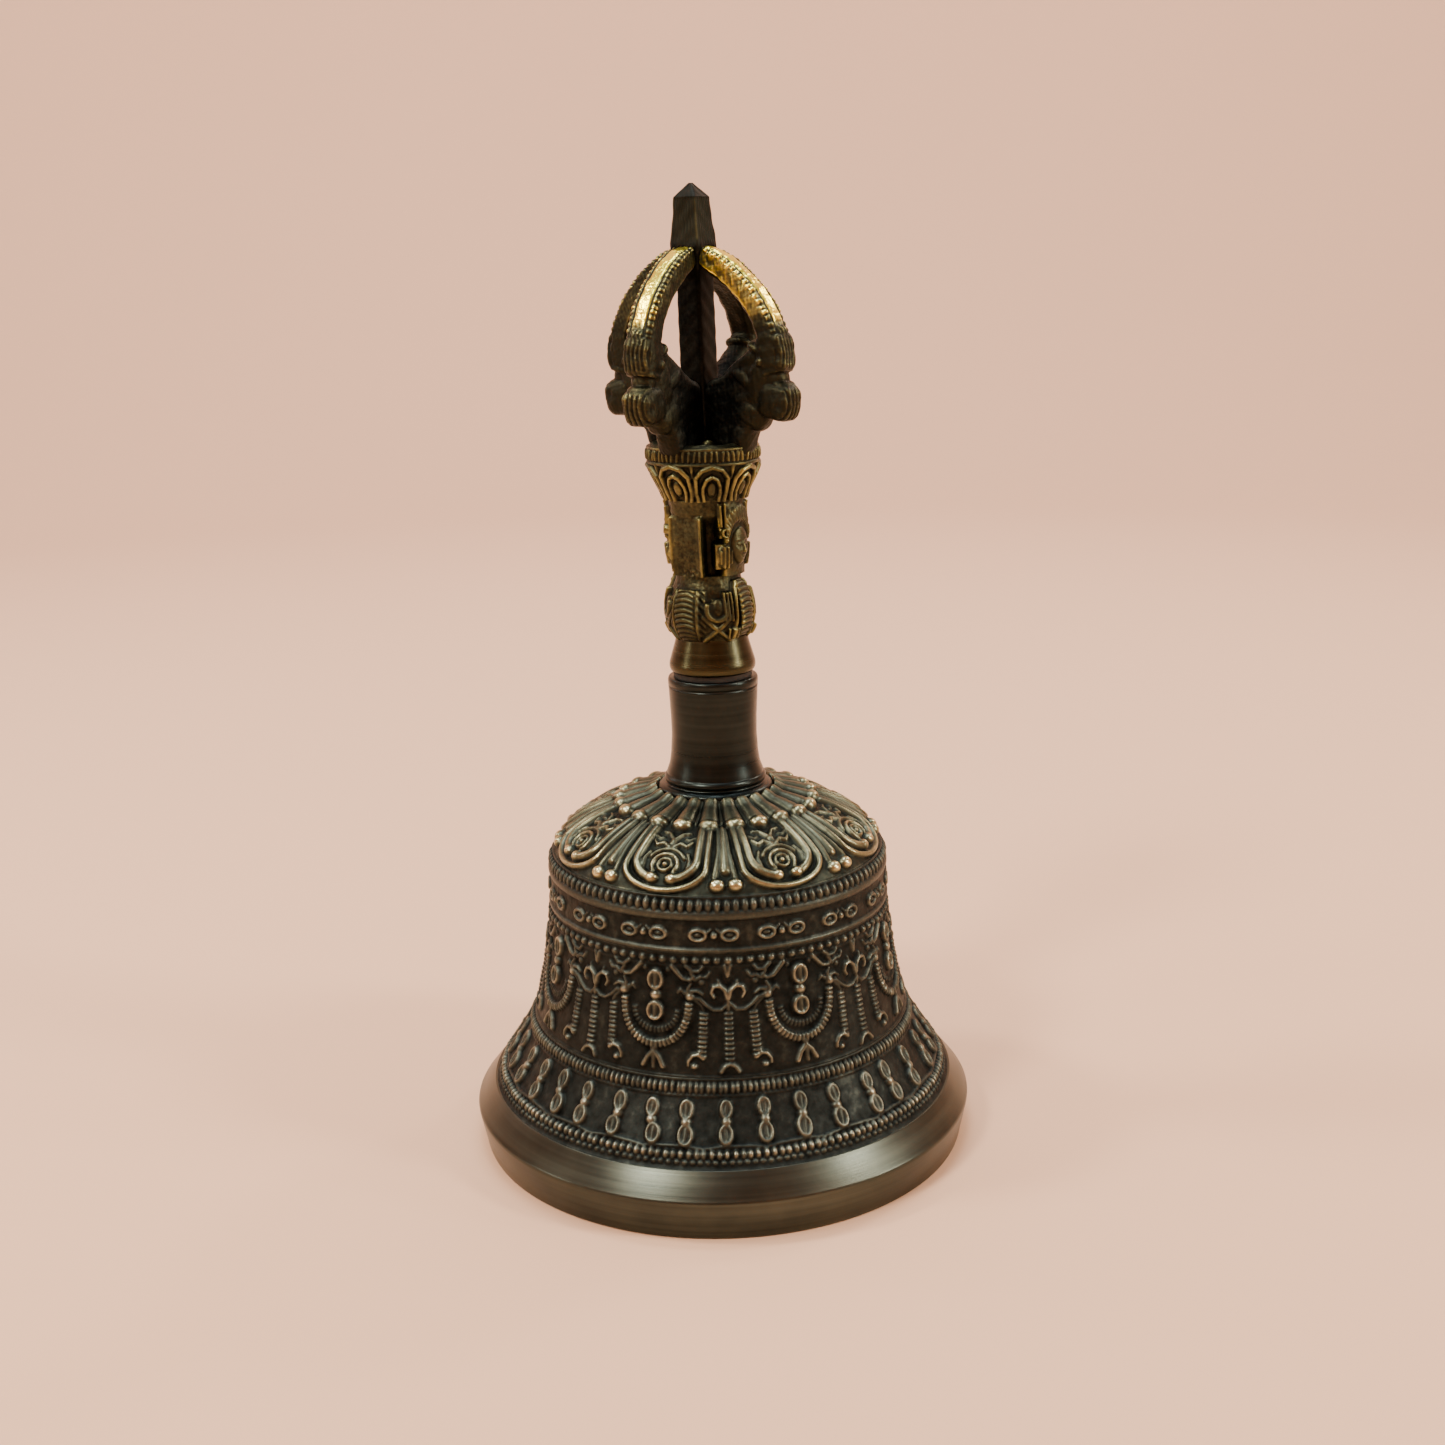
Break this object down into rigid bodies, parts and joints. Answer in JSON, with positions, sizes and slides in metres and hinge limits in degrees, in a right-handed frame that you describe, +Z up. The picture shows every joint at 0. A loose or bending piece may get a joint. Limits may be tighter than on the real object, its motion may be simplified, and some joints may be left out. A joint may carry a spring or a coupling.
{
  "type": "tibetan hand bell",
  "caption": "Cast bronze hand bell on a turned neck with a half-vajra handle; a clapper hangs inside from a hooked ring and swings in two directions to strike the flared rim.",
  "frame": {"origin": "centre of the rim's flat underside, which the bell stands on", "axes": "+Z up along the bell's axis to the point of the handle; +X to the right and -Y towards the viewer of the bell's front"},
  "size_m": [0.095, 0.095, 0.1753],
  "materials": {
    "bell_bronze": "cast, dark antique patina with the high spots rubbed bright, lip turned to a satin",
    "neck_bronze": "turned to a satin under the same dark patina as the lip, fine lathe lines",
    "black_packing": "matt black packing, slightly gritty",
    "handle_brass": "cast, chased and polished, dark in the recesses",
    "hanger_steel": "plain steel, dulled",
    "clapper_iron": "blackened iron wire",
    "bob_bronze": "cast, rubbed bright where it strikes"
  },
  "bodies": {
    "bell": {"bell_shell": "bell_bronze", "neck_collar": "neck_bronze", "seat_ring": "black_packing", "vajra_handle": "handle_brass", "hanger_eyebolt": "hanger_steel", "crown_washer": "hanger_steel", "crown_nut": "hanger_steel"},
    "link": {"clapper_ring": "clapper_iron"},
    "clapper": {"clapper_rod": "clapper_iron", "clapper_bob": "bob_bronze"}
  },
  "joints": [
    {"name": "ring_swing", "type": "hinge", "parent": "bell", "child": "link", "pos_m": [0, 0, 0.04922], "axis": [1, 0, 0], "range_deg": [-12, 12]},
    {"name": "clapper_swing", "type": "hinge", "parent": "link", "child": "clapper", "pos_m": [0, 0, 0.0434], "axis": [0, 1, 0], "range_deg": [-45, 45]}
  ]
}
